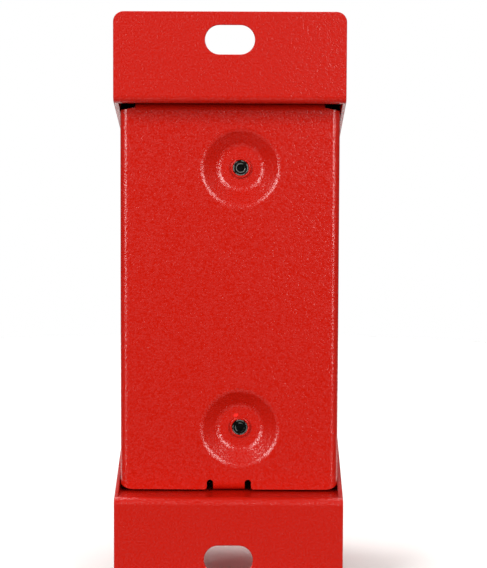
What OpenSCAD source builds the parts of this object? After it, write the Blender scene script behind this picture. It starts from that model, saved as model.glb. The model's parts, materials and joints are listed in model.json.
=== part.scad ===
// Street fire alarm box: a folded steel housing with a removable rear cover,
// an alarm button behind a glazed front door, a lamp and a tamper switch.
// Y = 0 is the wall plane, the front faces -Y and +Z is up.

/* [Housing] */
// Outer width of the box and its flanges
boxWidth = 89; // [70:0.5:120]
// Clear height between the top and bottom walls
clearHeight = 152.6; // [130:0.2:200]
// Depth from the wall plane to the front face
boxDepth = 90; // [80:0.5:130]
// Thickness of the folded sheet
sheet = 1.5; // [1:0.1:2]
// Inner radius of every fold
foldRadius = 1.5; // [1:0.1:2.5]
// Height of the shallow side walls at the front
sideWall = 14; // [10:0.5:25]
// How far the slanted side wall drops away from the end walls
sideDrop = 18.4; // [5:0.2:30]

/* [Mounting flanges] */
// Flange reach beyond the end wall
flangeReach = 33.4; // [25:0.1:45]
// Distance between the two slot centres
slotSpacing = 201; // [190:0.5:260]
// Slot length across the box
slotLength = 19; // [14:0.5:30]
// Slot height
slotHeight = 11.1; // [6:0.1:14]
// Radius of the free flange corners
flangeCorner = 4; // [1:0.5:10]

/* [Rear cover] */
// Distance from the wall plane to the cover
coverInset = 14; // [8:0.5:20]
// Height of the cover screws above and below the middle
screwHeight = 51.1; // [35:0.1:60]
// Sideways offset of both cover screws
screwOffset = -4.2; // [-10:0.1:10]
// Rim radius of the dished recess
dishRim = 16.15; // [13:0.05:18]
// Depth of the dished recess
dishDepth = 4.5; // [3:0.1:6]
// Slope of the dished wall in degrees
dishSlope = 35; // [25:1:50]
// Half width of the folded return at the top edge
returnHalf = 36.7; // [25:0.1:38]
// Depth of the folded return and tab
returnDepth = 12; // [8:0.5:16]
// Width of the bent tab in the lower edge
tabWidth = 12.4; // [8:0.1:20]
// Width of each slit beside the tab
slitWidth = 2.5; // [1.5:0.1:4]
// Depth of each slit
slitDepth = 3.9; // [3:0.1:6]

/* [Front door] */
// Door width
doorWidth = 73.5; // [70:0.5:76]
// Door height
doorHeight = 96; // [92:0.5:100]
// Door front face beyond the front of the box
doorRise = 16; // [15:0.5:22]
// Window width
windowWidth = 50; // [44:0.5:52]
// Window height
windowHeight = 52; // [44:0.5:54]
// Thickness of the door glass
glassThick = 3; // [2:0.1:4]
// Diameter of each hinge pin
pinDiameter = 3; // [2:0.1:4]

/* [Alarm button] */
// Diameter of the pressed face
buttonDiameter = 18; // [14:0.5:20]
// Travel of the button
buttonTravel = 6; // [3:0.5:7]
// Diameter of the threaded button body
buttonBody = 21.8; // [20:0.1:24]

/* [Fittings] */
// Thread diameter of the cable gland
glandThread = 16; // [12:0.5:18]
// Bore of the gland seal
cableBore = 7.2; // [4:0.1:8]
// Diameter of the indicator lamp body
lampBody = 12; // [10:0.5:14]

/* [Clearances] */
// Gap beside curved faces that don't run on each other
looseGap = 0.3; // [0.2:0.05:0.5]
// Radial clearance of a running fit
runGap = 0.05; // [0.01:0.01:0.1]

/* [Hidden] */
$fn = 72;

// Housing
outerRadius = foldRadius + sheet;
halfWidth = boxWidth / 2;
halfClear = clearHeight / 2;
halfOuter = halfClear + sheet;
flangeTip = halfOuter + flangeReach;
foldStart = halfClear + outerRadius;
frontFace = -boxDepth;
webInner = frontFace + sheet;
sideEdge = frontFace + sideWall;
past = 1;

// Rear cover
coverHalf = halfWidth - sheet - looseGap;
coverRear = -coverInset;
coverInner = coverRear - sheet;
coverStand = 1.5;
coverFront = webInner + coverStand;
coverTop = halfClear - looseGap;
coverBottom = -(halfClear - 3 * looseGap);
tabBottom = -(halfClear - 2 * looseGap);
reliefTop = coverTop - 1.4;
reliefSlope = 1.45;
cornerRadius = 8;
cornerStart = coverHalf - 5.2;
slitFlare = 1;
returnFront = coverRear - returnDepth;
dishRimBend = 3.8;
dishFloorBend = 4;
dishRise = 1 - cos(dishSlope);
dishWall = (dishDepth - (dishRimBend + dishFloorBend) * dishRise) / sin(dishSlope);
dishFloor = dishRim - (dishRimBend + dishFloorBend) * sin(dishSlope) - dishWall * cos(dishSlope);
dishHole = 3.5;
wallLap = 0.2;
wallInset = 0.02;

// Cover screws, ferrules and posts
threadRadius = 1.75;
waistRadius = 1.35;
headRadius = 2.95;
headHeight = 3.5;
socketFlats = 2.8;
socketDepth = 1.8;
collarRadius = 4;
collarHeight = 1.2;
collarTop = coverRear - dishDepth + collarHeight;
headStand = 0.4;
ferruleFloor = 1.6;
screwLength = 15;
waistLength = 0.8;
postSpare = 2;
headTop = collarTop + headStand;
headSeat = headTop - headHeight;
ferruleFoot = headSeat - ferruleFloor;
screwTip = headSeat - screwLength;
threadTop = ferruleFoot - waistLength;
postRadius = 4;
postBoreEnd = screwTip - postSpare;

// Door
doorX = 1.25;
doorZ = -10;
doorFront = frontFace - doorRise;
doorInner = doorFront + sheet;
sealThick = 0.9;
sealWidth = 3;
doorBack = frontFace - sealThick - looseGap;
windowZ = 2;
gasketThick = 0.8;
glassLap = 3;
gasketBack = doorInner + gasketThick;
glassBack = gasketBack + glassThick;
retainerThick = 1.2;
retainerBack = glassBack + retainerThick;
retainerLap = 2;
windowRadius = 4;
studInset = 5.3;
studX = windowWidth / 2 + studInset;
studZ = windowHeight / 2 + studInset;
studRadius = 1.5;
studNutThick = 2.4;
studNutFlats = 5.5;
studEnd = retainerBack + studNutThick + 0.8;
retainerEdge = 2.2;

// Hinges
doorLeft = doorX - doorWidth / 2;
knuckleRadius = 3;
knuckleStand = 0.5;
pinStand = 5.5;
hingeX = doorLeft - knuckleRadius - knuckleStand;
hingeY = frontFace - pinStand;
hingeHeights = [22, -42];
knuckleLength = 10;
lugLength = 5;
pinRadius = pinDiameter / 2;
lugHalf = 2;
pinHeadRadius = 2.6;
pinHeadThick = 1.2;
pinTail = 1;

// Door latch
latchX = 22;
latchZ = -44;
latchRadius = 6;
latchFlange = 10;
latchFlangeThick = 2.3;
latchNutThick = 3;
latchNutFlats = 2 * latchRadius + 5;
latchEnd = frontFace - 5.3;
spindleRadius = 3.8;
spindleHead = 4.5;
spindleStep = 1.5;
spindleNeck = 4;
tailSize = 5;
tailGap = 0.05;
camThick = 1.5;
camFront = latchEnd + looseGap;
camReach = 11;
camHalf = 4;
camBoss = 6;
camBore = 1.5;
camBoreDepth = 3;
camScrewRadius = 1.2;
camScrewDepth = 4;
camScrewHead = 3.9;
camScrewRise = 1.7;
handleHalf = 9;
handleThick = 5;
handleRise = 6.5;
handleGap = 1.2;
keeperLip = [30.5, 34.5];
keeperHalf = 4.5;
keeperFront = latchEnd - 0.6;

// Alarm button
buttonX = doorX;
buttonZ = windowZ;
bezelRadius = 14.75;
bezelThick = 4;
ringThick = 1;
ringInset = 0.6;
gasketOut = frontFace - ringThick;
bezelFront = gasketOut - bezelThick;
bodyRadius = buttonBody / 2;
bodyInner = bodyRadius - 0.7;
bodyDepth = 18;
bodyEnd = frontFace + bodyDepth;
bodyWall = 2;
bezelNutFlats = 2 * bodyRadius + 5.2;
bezelNutThick = 3.5;
mouthGap = 0.2;
buttonRadius = buttonDiameter / 2;
buttonCollar = bodyInner - mouthGap;
mouthLip = 1.8;
collarThick = 2;
collarFront = bezelFront + mouthLip + looseGap;
collarBack = collarFront + collarThick;
buttonRise = 9.5;
buttonFront = frontFace - buttonRise;
fingerRadius = 24.9;
fingerDepth = 0.9;
stemRadius = 3;
springRadius = 6.5;
springWire = 1;
springTurns = 5;
springEnd = bodyEnd - bodyWall;

// Switch block
blockWidth = 24;
blockHeight = 26;
blockDepth = 26;
blockBack = bodyEnd + blockDepth;
blockWall = 3;
cavityWidth = 18;
cavityHeight = 12;
blockFront = 2;
cavityFront = bodyEnd + blockFront;
cavityBack = blockBack - blockWall;
stemReach = 3;
stemEnd = cavityFront + stemReach;
bridgeThick = 0.8;
bridgeBack = stemEnd + bridgeThick;
contactFront = bridgeBack + buttonTravel + looseGap;
contactX = 6;
contactHalf = 2;
plateThick = 1;
footHalf = 3;
screwRise = 6;
terminalRadius = 1.2;
terminalHead = 2.4;
terminalRise = 1.8;
terminalShank = 5;
terminalBore = 4;

// Circuit board
boardThick = 1.6;
standoffHeight = 8.5;
standoffSolid = 2;
boardFront = webInner + standoffHeight;
boardBack = boardFront + boardThick;
boardLow = [3, -70];
boardHigh = [37.5, -20];
boardInset = 3.5;
boardBore = 1.5;
standoffFlats = 6;
boardScrewLength = 6;
boardScrewHead = 2.8;
boardScrewRise = 2;
relaySize = [15.5, 15.5, 19.5];
relayInset = [2, 8];
capRadius = 4;
capHeight = 12;
capInset = [8, 13];
capPitch = 11;
poleCount = 5;
polePitch = 5.08;
poleDepth = 10;
poleHeight = 8;
poleWall = 0.8;
poleEntry = 4;
poleFloor = 2;
poleSeat = 7;
poleScrewHead = 1.6;
poleScrewShank = 1;
poleLow = [boardLow[0] + 4.5, boardLow[1] + 8];

// Lamp
lampX = 0;
lampZ = 64;
lampRadius = lampBody / 2;
lampInner = lampRadius - 1.5;
lampFlange = 9.5;
lampFlangeThick = 3;
lampDepth = 14;
lampNutThick = 3;
lampFront = gasketOut - lampFlangeThick;
lampEnd = frontFace + lampDepth;
lensRadius = 7.2;
lensSkirt = 2;
lensDome = 4;
lensPlug = 2;
lensWall = 1.3;
lensHollow = 1.2;
shelfThick = 2;
ledShelf = frontFace + lampDepth / 2;
ledRadius = 2.5;
ledFlange = 3.4;
ledBody = 6;
ledPitch = 1.27;
ledLead = 0.35;

// Tamper switch
tamperX = 25;
tamperTop = halfClear - 13.7;
tamperSize = [20, 10.5, 6.4];
tamperFace = coverInner - 5.5;
tamperLow = tamperTop - tamperSize[2];
tamperMiddle = tamperTop - tamperSize[2] / 2;
plungerRadius = 1.5;
plungerLength = 8.7;
plungerFront = coverInner - looseGap;
plungerTip = plungerFront - plungerLength;
plungerTravel = 2;
plungerSpare = 2;
tamperPitch = 4.75;
tamperHole = 1.3;
tamperInset = 2.5;
tamperScrewHead = 2;
tamperScrewRise = 1.4;
tamperScrewTail = 1.5;
tamperSlot = 0.7;
bracketBack = tamperFace - 2;
bracketFront = tamperFace - 25;
bracketFoot = 14;
bracketHalf = tamperSize[0] / 2 - 1;
tongueSize = [2.4, 4.5, 0.6];
tonguePitch = 7;
tongueHole = 0.6;

// Cable gland
glandX = 25;
glandY = -48;
glandRadius = glandThread / 2;
glandWall = 1.3;
glandHex = glandThread + 6;
glandHexThick = 5;
glandSleeve = 5;
washerThick = 1.5;
washerInset = 0.5;
glandTop = -halfOuter - washerThick;
glandHexEnd = glandTop - glandHexThick;
glandShoulder = glandHexEnd - glandWall;
glandThreadEnd = glandShoulder - glandSleeve;
glandBore = glandRadius - 3;
sealRadius = glandRadius - glandWall;
sealLength = 8;
sealEnd = glandShoulder - sealLength;
glandNutFloor = 5;
glandNutEnd = sealEnd - glandNutFloor;
locknutThick = 4;
threadStand = 1;
glandThreadTop = locknutThick + threadStand - halfClear;

// Earth stud
earthX = -28;
earthZ = -60;
earthRadius = 2;
earthFlats = 7;
earthNutThick = 3.2;
earthWasherThick = 1;
earthWasherRadius = 4.5;
earthLength = 16;
earthSeat = webInner + earthNutThick;

// A flat shape drawn in X and Z, made solid between two Y values
module alongY(from, to) {
    translate([0, to, 0])
        rotate([90, 0, 0])
            linear_extrude(to - from)
                children();
}

// A flat shape drawn in Y and Z, made solid between two X values
module alongX(from, to) {
    translate([from, 0, 0])
        rotate([90, 0, 90])
            linear_extrude(to - from)
                children();
}

// A flat shape drawn in X and Y, made solid between two Z values
module alongZ(from, to) {
    translate([0, 0, from])
        linear_extrude(to - from)
            children();
}

// A round bar along Y
module rodY(x, z, from, to, radius) {
    translate([x, to, z])
        rotate([90, 0, 0])
            cylinder(h = to - from, r = radius);
}

// A round bar along Z
module rodZ(x, y, from, to, radius) {
    translate([x, y, from])
        cylinder(h = to - from, r = radius);
}

// A ring along Y
module ringY(x, z, from, to, outer, inner) {
    difference() {
        rodY(x, z, from, to, outer);
        rodY(x, z, from - past, to + past, inner);
    }
}

// A ring along Z
module ringZ(x, y, from, to, outer, inner) {
    difference() {
        rodZ(x, y, from, to, outer);
        rodZ(x, y, from - past, to + past, inner);
    }
}

// A regular hexagon by its width across flats
module hexagon(flats) {
    intersection_for(turn = [0, 60, 120])
        rotate(turn)
            square([flats, 2 * flats], center = true);
}

// A rectangle with rounded corners
module roundedRect(width, height, radius) {
    square([width, height - 2 * radius], center = true);
    square([width - 2 * radius, height], center = true);
    for (side = [-1, 1], end = [-1, 1])
        translate([side * (width / 2 - radius), end * (height / 2 - radius)])
            circle(radius);
}

// A channel outline from front to back, rounded at both front corners
module channel(half, front, back, radius) {
    translate([front + radius, -half])
        square([back - front - radius, 2 * half]);
    translate([front, radius - half])
        square([radius, 2 * (half - radius)]);
    for (end = [-1, 1])
        translate([front + radius, end * (half - radius)])
            circle(radius);
}

// A quarter of a fold, as a ring sector between the two sheet faces
module foldQuarter(outer) {
    intersection() {
        difference() {
            circle(outer);
            circle(outer - sheet);
        }
        square(outer + past);
    }
}

// A tray open at the back, rounded along all four front edges
module tray(halfX, halfZ, front, back, radius) {
    intersection() {
        alongX(-halfX - past, halfX + past)
            channel(halfZ, front, back, radius);
        alongZ(-halfZ - past, halfZ + past)
            rotate(90)
                mirror([0, 1])
                    channel(halfX, front, back, radius);
    }
}

// One mounting flange with its fold and slot, at the top
module flange() {
    alongX(-halfWidth, halfWidth)
        translate([-outerRadius, foldStart])
            mirror([0, 1])
                foldQuarter(outerRadius);
    alongY(-sheet, 0)
        difference() {
            union() {
                translate([-halfWidth, foldStart])
                    square([boxWidth, flangeTip - foldStart - flangeCorner]);
                translate([flangeCorner - halfWidth, foldStart])
                    square([boxWidth - 2 * flangeCorner, flangeTip - foldStart]);
                for (side = [-1, 1])
                    translate([side * (halfWidth - flangeCorner), flangeTip - flangeCorner])
                        circle(flangeCorner);
            }
            translate([0, slotSpacing / 2])
                mountingSlot();
        }
}

module mountingSlot() {
    straight = slotLength - slotHeight;
    square([straight, slotHeight], center = true);
    for (side = [-1, 1])
        translate([side * straight / 2, 0])
            circle(slotHeight / 2);
}

module housing() {
    color("#cd2116") {
        difference() {
            tray(halfWidth, halfOuter, frontFace, -outerRadius, outerRadius);
            tray(halfWidth - sheet, halfClear, webInner, past, foldRadius);
            alongX(-halfWidth - past, halfWidth + past)
                sideOpening();
            rodY(buttonX, buttonZ, frontFace - past, webInner + past, bodyRadius + looseGap);
            rodY(lampX, lampZ, frontFace - past, webInner + past, lampRadius + looseGap);
            rodZ(glandX, glandY, -halfOuter - past, past - halfClear, glandRadius + looseGap);
        }
        flange();
        mirror([0, 0, 1])
            flange();
    }
}

// The part of each side that only the rear cover closes
module sideOpening() {
    polygon([
        [past, halfClear],
        [-outerRadius, halfClear],
        [sideEdge, halfClear - sideDrop],
        [sideEdge, sideDrop - halfClear],
        [-outerRadius, -halfClear],
        [past, -halfClear]
    ]);
}

module cover_posts() {
    color("#b9bcc0")
        for (end = [-1, 1])
            difference() {
                rodY(screwOffset, end * screwHeight, webInner, ferruleFoot, postRadius);
                rodY(screwOffset, end * screwHeight, postBoreEnd, past + ferruleFoot,
                    threadRadius + runGap);
            }
}

module hinge_lugs() {
    color("#b3241b")
        for (height = hingeHeights, end = [-1, 1])
            translate([0, 0, height + end * (knuckleLength + lugLength + 2 * looseGap) / 2])
                difference() {
                    union() {
                        rodZ(hingeX, hingeY, -lugLength / 2, lugLength / 2, knuckleRadius);
                        translate([hingeX - lugHalf, hingeY, -lugLength / 2])
                            cube([2 * lugHalf, frontFace - hingeY, lugLength]);
                    }
                    rodZ(hingeX, hingeY, -lugLength, lugLength, pinRadius + runGap);
                }
}

module hinge_pins() {
    top = knuckleLength / 2 + looseGap + lugLength;
    color("#8f9398")
        for (height = hingeHeights) {
            rodZ(hingeX, hingeY, height - top - pinTail, height + top + pinHeadThick / 2, pinRadius);
            rodZ(hingeX, hingeY, height + top, height + top + pinHeadThick, pinHeadRadius);
        }
}

module door_seal() {
    color("#202022")
        translate([doorX, 0, doorZ])
            alongY(frontFace - sealThick, frontFace)
                difference() {
                    roundedRect(doorWidth, doorHeight, outerRadius);
                    square([doorWidth - 2 * sealWidth, doorHeight - 2 * sealWidth], center = true);
                }
}

module latch_keeper() {
    color("#8f9398")
        translate([0, 0, latchZ])
            alongX(keeperLip[0], keeperLip[1])
                union() {
                    translate([frontFace - sheet, -keeperHalf])
                        square([sheet, 2 * keeperHalf + sheet]);
                    translate([keeperFront - sheet, keeperHalf])
                        square([frontFace - keeperFront + sheet, sheet]);
                    translate([keeperFront - sheet, -keeperHalf])
                        square([sheet, 2 * keeperHalf + sheet]);
                }
}

module button_bezel() {
    color("#3a3b3d")
        difference() {
            union() {
                rodY(buttonX, buttonZ, bezelFront, gasketOut, bezelRadius);
                rodY(buttonX, buttonZ, bezelFront, bodyEnd, bodyRadius);
            }
            rodY(buttonX, buttonZ, bezelFront + mouthLip, bodyEnd - bodyWall, bodyInner);
            rodY(buttonX, buttonZ, bezelFront - past, bodyEnd - bodyWall - past,
                buttonRadius + mouthGap);
            rodY(buttonX, buttonZ, bezelFront, bodyEnd + past, stemRadius + runGap);
        }
}

module bezel_gasket() {
    color("#202022")
        ringY(buttonX, buttonZ, gasketOut, frontFace, bezelRadius - ringInset,
            bodyRadius + looseGap);
}

module bezel_nut() {
    color("#46484b")
        translate([buttonX, 0, buttonZ])
            difference() {
                alongY(webInner, webInner + bezelNutThick)
                    hexagon(bezelNutFlats);
                rodY(0, 0, webInner - past, webInner + bezelNutThick + past,
                    bodyRadius + looseGap);
            }
}

module button_spring() {
    length = springEnd - collarBack;
    wrap = 360 * springWire / (length / springTurns);
    color("#9aa0a6")
        translate([buttonX, springEnd, buttonZ])
            rotate([90, 0, 0])
                linear_extrude(length - springWire, twist = -360 * springTurns, slices = 120,
                    $fn = 20)
                    wireSection(wrap);
}

// The wire's flat section: an arc of the coil as long as one wire thickness rises
module wireSection(wrap) {
    steps = 6;
    turn = wrap / steps;
    polygon([
        for (step = [0 : steps])
            (springRadius + springWire / 2) * [cos(step * turn), sin(step * turn)],
        for (step = [steps : -1 : 0])
            (springRadius - springWire / 2) * [cos(step * turn), sin(step * turn)]
    ]);
}

module switch_block() {
    color("#2b2d30")
        translate([buttonX, 0, buttonZ])
            difference() {
                translate([-blockWidth / 2, bodyEnd, -blockHeight / 2])
                    cube([blockWidth, blockBack - bodyEnd, blockHeight]);
                translate([-cavityWidth / 2, cavityFront, -cavityHeight / 2])
                    cube([cavityWidth, cavityBack - cavityFront, cavityHeight]);
                rodY(0, 0, bodyEnd - past, cavityFront + past, stemRadius + looseGap);
                for (side = [-1, 1]) {
                    translate([side * contactX, 0, 0])
                        alongY(cavityBack - past, blockBack + past)
                            square(2 * (contactHalf + looseGap), center = true);
                    rodY(side * contactX, screwRise, cavityBack - terminalBore, blockBack + past,
                        terminalRadius + looseGap);
                }
            }
}

module switch_contacts() {
    color("#c9a24a")
        translate([buttonX, 0, buttonZ])
            for (side = [-1, 1])
                difference() {
                    union() {
                        translate([side * contactX, 0, 0])
                            alongY(contactFront, blockBack + plateThick)
                                square(2 * contactHalf, center = true);
                        translate([side * contactX - footHalf, blockBack, -footHalf])
                            cube([2 * footHalf, plateThick, screwRise + 2 * footHalf]);
                    }
                    rodY(side * contactX, screwRise, blockBack - past, blockBack + plateThick + past,
                        terminalRadius + looseGap);
                }
}

// A slotted screw along Y with its head behind the seat
module slottedScrew(x, z, seat, depth, shank, head, rise) {
    difference() {
        union() {
            rodY(x, z, seat - depth, seat + rise / 2, shank);
            rodY(x, z, seat, seat + rise, head);
        }
        translate([x - head - past, seat + rise / 2, z - head / 6])
            cube([2 * (head + past), rise, head / 3]);
    }
}

module switch_screws() {
    color("#b9bcc0")
        translate([buttonX, 0, buttonZ])
            for (side = [-1, 1])
                slottedScrew(side * contactX, screwRise, blockBack + plateThick, terminalShank,
                    terminalRadius, terminalHead, terminalRise);
}

// The four fixing points of the board
module atBoardCorners() {
    for (x = [boardLow[0] + boardInset, boardHigh[0] - boardInset])
        for (z = [boardLow[1] + boardInset, boardHigh[1] - boardInset])
            translate([x, 0, z])
                children();
}

module circuit_board() {
    color("#1f6b3a")
        difference() {
            translate([boardLow[0], boardFront, boardLow[1]])
                cube([boardHigh[0] - boardLow[0], boardThick, boardHigh[1] - boardLow[1]]);
            atBoardCorners()
                rodY(0, 0, boardFront - past, boardBack + past, boardBore + looseGap);
        }
}

module board_standoffs() {
    color("#c9a24a")
        atBoardCorners()
            difference() {
                alongY(webInner, boardFront)
                    hexagon(standoffFlats);
                rodY(0, 0, webInner + standoffSolid, boardFront + past, boardBore + looseGap);
            }
}

module board_screws() {
    color("#b9bcc0")
        atBoardCorners()
            slottedScrew(0, 0, boardBack, boardScrewLength, boardBore, boardScrewHead, boardScrewRise);
}

module relay() {
    color("#1d3f7a")
        translate([
            boardHigh[0] - relaySize[0] - relayInset[0],
            boardBack,
            boardHigh[1] - relaySize[2] - relayInset[1]
        ])
            cube(relaySize);
}

module capacitors() {
    color("#22262c")
        for (step = [0, 1])
            rodY(boardLow[0] + capInset[0], boardHigh[1] - capInset[1] - capPitch * step,
                boardBack, boardBack + capHeight, capRadius);
}

module terminal_block() {
    length = poleCount * polePitch;
    color("#3c8f4c")
        difference() {
            translate([poleLow[0], boardBack, poleLow[1]])
                cube([length, poleDepth, poleHeight]);
            for (pole = [0 : poleCount - 1]) {
                translate([
                    poleLow[0] + pole * polePitch + poleWall,
                    boardBack + poleFloor,
                    poleLow[1] - past
                ])
                    cube([polePitch - 2 * poleWall, poleEntry, poleEntry]);
                rodY(poleLow[0] + (pole + 0.5) * polePitch, poleLow[1] + poleHeight / 2,
                    boardBack + poleSeat, boardBack + poleDepth + past, poleScrewHead + looseGap);
            }
        }
}

module terminal_screws() {
    color("#b9bcc0")
        for (pole = [0 : poleCount - 1])
            slottedScrew(poleLow[0] + (pole + 0.5) * polePitch, poleLow[1] + poleHeight / 2,
                boardBack + poleSeat, 0, poleScrewShank, poleScrewHead, boardScrewRise);
}

module lamp_bezel() {
    color("#c4c7cb")
        difference() {
            union() {
                rodY(lampX, lampZ, lampFront, gasketOut, lampFlange);
                rodY(lampX, lampZ, lampFront, lampEnd, lampRadius);
            }
            rodY(lampX, lampZ, lampFront - past, ledShelf - shelfThick, lampInner);
            rodY(lampX, lampZ, ledShelf, lampEnd + past, lampInner);
            rodY(lampX, lampZ, lampFront, lampEnd, ledRadius + looseGap);
        }
}

module lamp_gasket() {
    color("#202022")
        ringY(lampX, lampZ, gasketOut, frontFace, lampFlange - ringInset, lampRadius + looseGap);
}

module lamp_nut() {
    color("#b9bcc0")
        translate([lampX, 0, lampZ])
            difference() {
                alongY(webInner, webInner + lampNutThick)
                    hexagon(lampBody + 4);
                rodY(0, 0, webInner - past, webInner + lampNutThick + past,
                    lampRadius + looseGap);
            }
}

module lamp_lens() {
    color("#d8261c")
        translate([lampX, lampFront, lampZ])
            rotate([90, 0, 0])
                rotate_extrude()
                    difference() {
                        union() {
                            translate([0, -lensPlug])
                                square([lampInner - looseGap, lensPlug + past]);
                            square([lensRadius, lensSkirt]);
                            lensCrown();
                        }
                        translate([0, -lensPlug - past])
                            square([
                                lampInner - looseGap - lensWall,
                                lensPlug + past + lensHollow
                            ]);
                    }
}

// The dome of the lens, an arc through its rim and its peak
module lensCrown() {
    radius = (lensRadius * lensRadius + lensDome * lensDome) / (2 * lensDome);
    intersection() {
        translate([0, lensSkirt + lensDome - radius])
            circle(radius);
        translate([0, lensSkirt])
            square([lensRadius, lensDome + past]);
    }
}

module lamp_led() {
    color("#e8e4dc") {
        translate([lampX, ledShelf, lampZ])
            rotate([90, 0, 0])
                rotate_extrude()
                    intersection() {
                        union() {
                            translate([0, -past])
                                square([ledFlange, past]);
                            square([ledRadius, ledBody]);
                            translate([0, ledBody])
                                circle(ledRadius);
                        }
                        translate([0, -past])
                            square(2 * ledBody);
                    }
        for (side = [-1, 1])
            rodY(lampX + side * ledPitch, lampZ, ledShelf + past / 2, lampEnd + ledBody, ledLead);
    }
}

module tamper_bracket() {
    color("#b9bcc0")
        difference() {
            translate([tamperX, 0, 0])
                alongX(-bracketHalf, bracketHalf) {
                    translate([bracketFront, tamperTop])
                        square([bracketBack - bracketFront, sheet]);
                    translate([bracketFront, tamperTop])
                        square([sheet, halfClear - tamperTop]);
                    translate([bracketFront, halfClear - sheet])
                        square([bracketFoot, sheet]);
                }
            atTamperHoles()
                rodZ(0, 0, tamperTop - past, tamperTop + sheet + past, tamperHole);
        }
}

// The two fixing holes through the tamper switch
module atTamperHoles() {
    for (side = [-1, 1])
        translate([tamperX + side * tamperPitch, tamperFace - tamperSize[1] + tamperInset, 0])
            children();
}

module tamper_switch() {
    color("#26282b")
        difference() {
            translate([tamperX - tamperSize[0] / 2, tamperFace - tamperSize[1], tamperLow])
                cube(tamperSize);
            rodY(tamperX, tamperMiddle, plungerTip - plungerTravel - plungerSpare,
                tamperFace + past, plungerRadius + runGap);
            atTamperHoles()
                rodZ(0, 0, tamperLow - past, tamperTop + past, tamperHole);
        }
}

module tamper_terminals() {
    back = tamperFace - tamperSize[1];
    color("#c9a24a")
        for (step = [-1, 0, 1])
            difference() {
                translate([
                    tamperX + step * tonguePitch - tongueSize[0] / 2,
                    back - tongueSize[1],
                    tamperMiddle - tongueSize[2] / 2
                ])
                    cube(tongueSize);
                rodZ(tamperX + step * tonguePitch, back - 2 * tongueSize[1] / 3, tamperLow,
                    tamperTop, tongueHole);
            }
}

module tamper_screws() {
    color("#b9bcc0")
        atTamperHoles() {
            rodZ(0, 0, tamperLow - tamperScrewRise / 2, tamperTop + sheet + tamperScrewTail,
                tamperHole - looseGap);
            difference() {
                rodZ(0, 0, tamperLow - tamperScrewRise, tamperLow, tamperScrewHead);
                translate([-2 * tamperScrewHead, -tamperSlot / 2, tamperLow - 1.5 * tamperScrewRise])
                    cube([4 * tamperScrewHead, tamperSlot, tamperScrewRise]);
            }
        }
}

module tamper_plunger() {
    color("#c23a2c")
        rodY(tamperX, tamperMiddle, plungerTip, plungerFront, plungerRadius);
}

module gland_washer() {
    color("#202022")
        ringZ(glandX, glandY, glandTop, -halfOuter, glandHex / 2 - washerInset,
            glandRadius + looseGap);
}

module gland_body() {
    color("#2c2e31")
        difference() {
            union() {
                translate([glandX, glandY, 0])
                    alongZ(glandHexEnd, glandTop)
                        hexagon(glandHex);
                rodZ(glandX, glandY, glandThreadEnd, glandThreadTop, glandRadius);
            }
            rodZ(glandX, glandY, glandThreadEnd - past, glandThreadTop + past, glandBore);
            rodZ(glandX, glandY, glandThreadEnd - past, glandShoulder, sealRadius + looseGap);
        }
}

module gland_locknut() {
    color("#2c2e31")
        translate([glandX, glandY, 0])
            difference() {
                alongZ(-halfClear, locknutThick - halfClear)
                    hexagon(glandHex);
                rodZ(0, 0, -halfClear - past, glandThreadTop, glandRadius + looseGap);
            }
}

module gland_seal() {
    color("#1b1b1c")
        ringZ(glandX, glandY, sealEnd, glandShoulder, sealRadius, cableBore / 2);
}

module gland_nut() {
    color("#2c2e31")
        translate([glandX, glandY, 0])
            difference() {
                intersection() {
                    alongZ(glandNutEnd, glandHexEnd - looseGap)
                        hexagon(glandHex);
                    rodZ(0, 0, glandNutEnd, glandHexEnd, glandHex / 2 + 0.9);
                }
                rodZ(0, 0, glandThreadEnd - looseGap, glandHexEnd + past, glandRadius + looseGap);
                rodZ(0, 0, sealEnd, glandHexEnd, sealRadius + looseGap);
                rodZ(0, 0, glandNutEnd - past, sealEnd + past, cableBore / 2 + 1);
            }
}

module earth_stud() {
    color("#c9a24a")
        rodY(earthX, earthZ, webInner, webInner + earthLength, earthRadius);
}

module earth_washer() {
    color("#b9bcc0")
        ringY(earthX, earthZ, earthSeat, earthSeat + earthWasherThick, earthWasherRadius,
            earthRadius + looseGap);
}

module earth_nuts() {
    color("#c9a24a")
        for (base = [webInner, earthSeat + earthWasherThick])
            translate([earthX, 0, earthZ])
                difference() {
                    alongY(base, base + earthNutThick)
                        hexagon(earthFlats);
                    rodY(0, 0, base - past, base + earthNutThick + past,
                        earthRadius + looseGap);
                }
}

// The dished sheet as a half section, radius along X and depth along -Y
module dishSection() {
    low = dishFloorBend - dishDepth;
    translate([dishRim, -sheet])
        square([2 * past, sheet]);
    translate([dishRim, -dishRimBend])
        slopedBend(dishRimBend, 90);
    translate([dishRim - dishRimBend * sin(dishSlope), dishRimBend * (cos(dishSlope) - 1)])
        rotate(180 + dishSlope)
            translate([-wallLap, wallInset])
                square([dishWall + 2 * wallLap, sheet - 2 * wallInset]);
    translate([dishFloor, low])
        slopedBend(dishFloorBend + sheet, 270);
    translate([dishHole, -dishDepth - sheet])
        square([dishFloor - dishHole, sheet]);
}

// A ring sector of sheet thickness that turns by the dish slope from a start angle
module slopedBend(outer, start) {
    reach = 2 * outer;
    intersection() {
        difference() {
            circle(outer);
            circle(outer - sheet);
        }
        polygon([
            [0, 0],
            [reach * cos(start), reach * sin(start)],
            [reach * cos(start + dishSlope), reach * sin(start + dishSlope)]
        ]);
    }
}

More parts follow.
